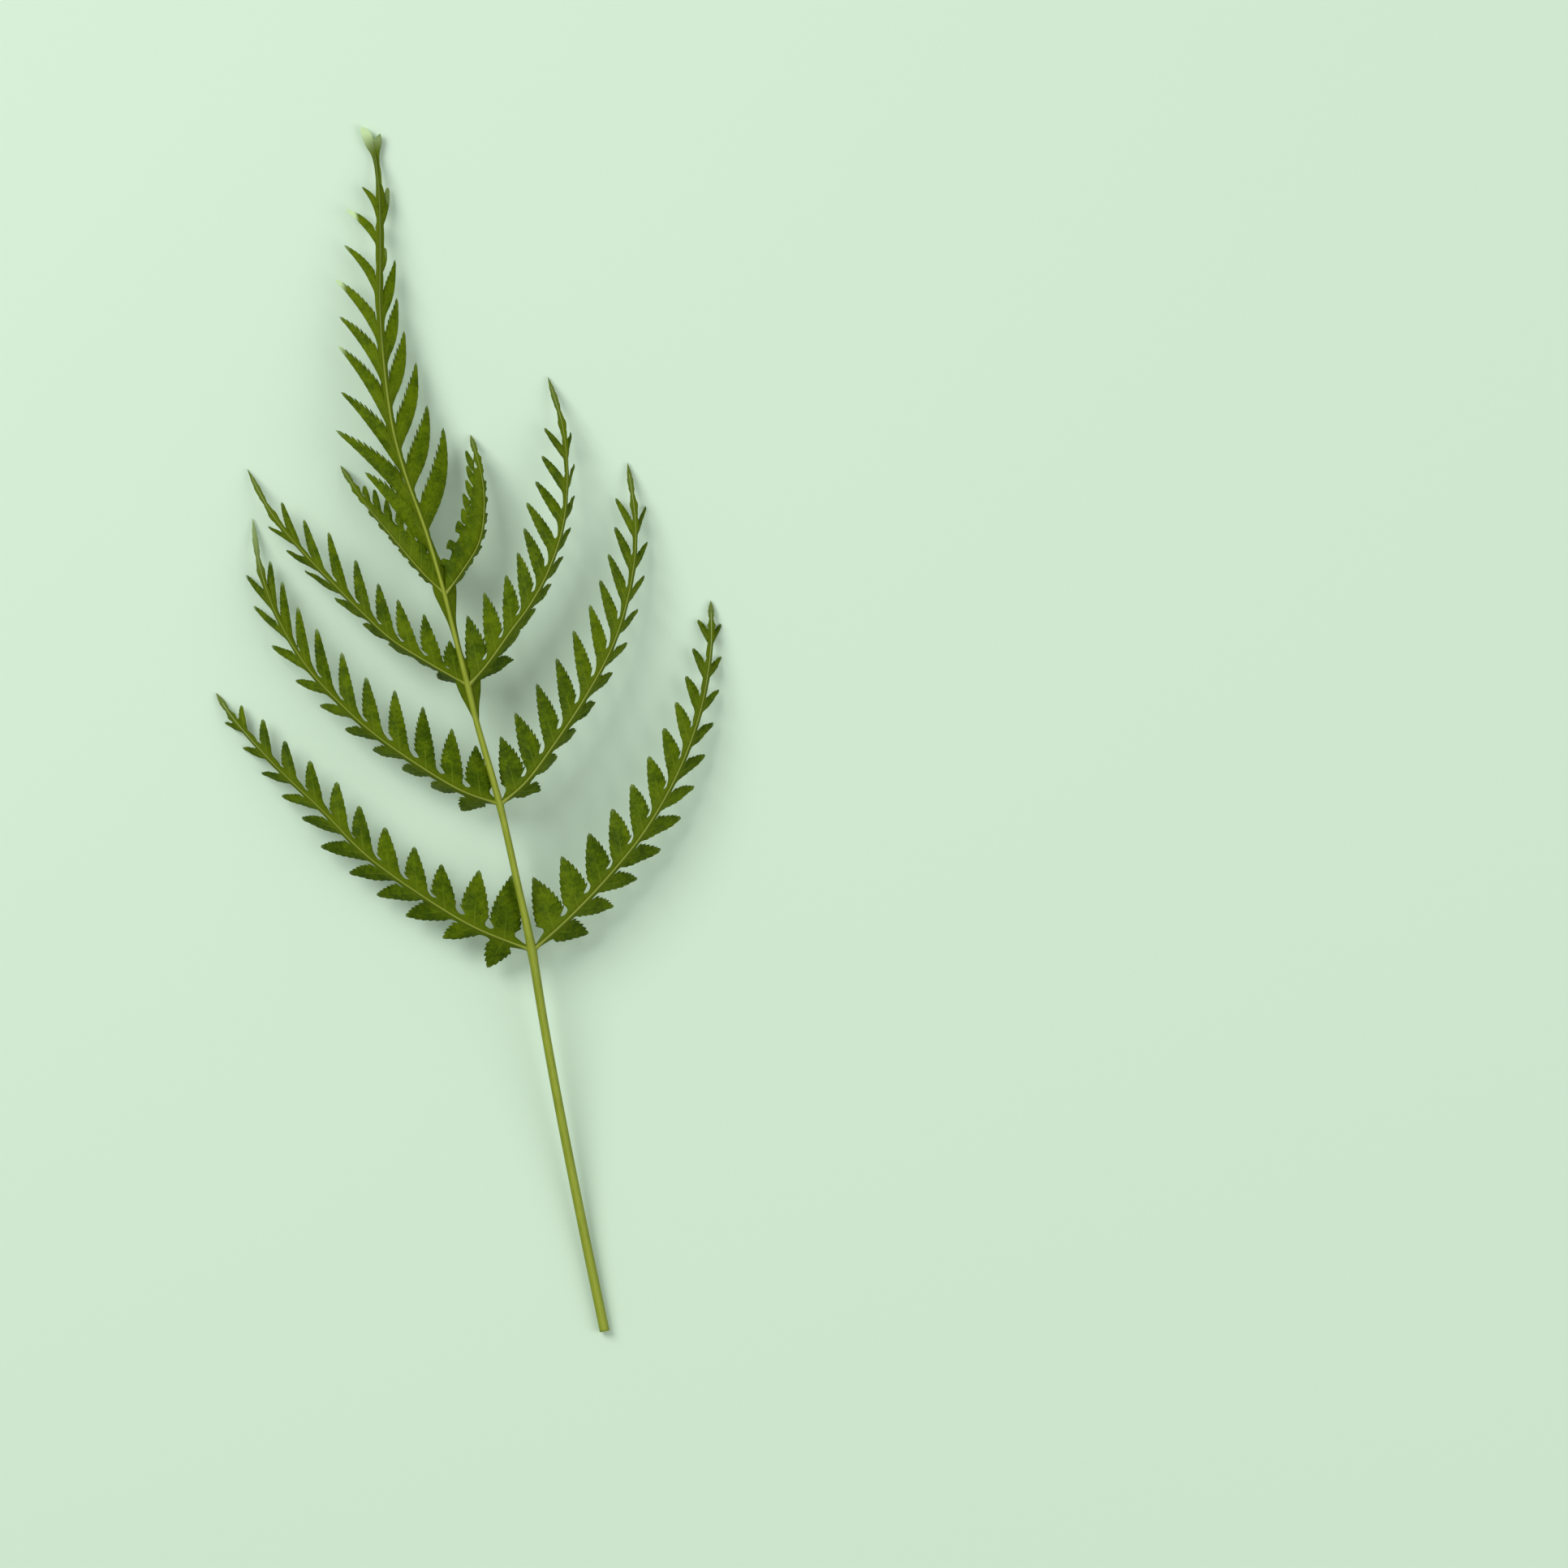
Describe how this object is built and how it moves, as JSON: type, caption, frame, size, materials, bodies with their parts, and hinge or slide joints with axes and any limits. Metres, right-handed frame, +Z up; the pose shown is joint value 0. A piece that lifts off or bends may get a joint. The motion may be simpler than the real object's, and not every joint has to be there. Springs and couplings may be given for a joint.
{
  "type": "fern frond",
  "caption": "Picked fern frond lying on its underside: a tapering green stalk with paired side branches of thin toothed leaflets and a narrow lobed tip",
  "frame": {"origin": "middle of the frond's box, on the surface that it lies on", "axes": "+Y from the cut end of the stalk to the frond's tip, +X to the frond's right seen from above, +Z up, away from the surface"},
  "size_m": [0.1382, 0.3332, 0.0186],
  "materials": {
    "frond": "satin"
  },
  "bodies": {
    "root": {"fern_frond": "frond"}
  },
  "joints": []
}
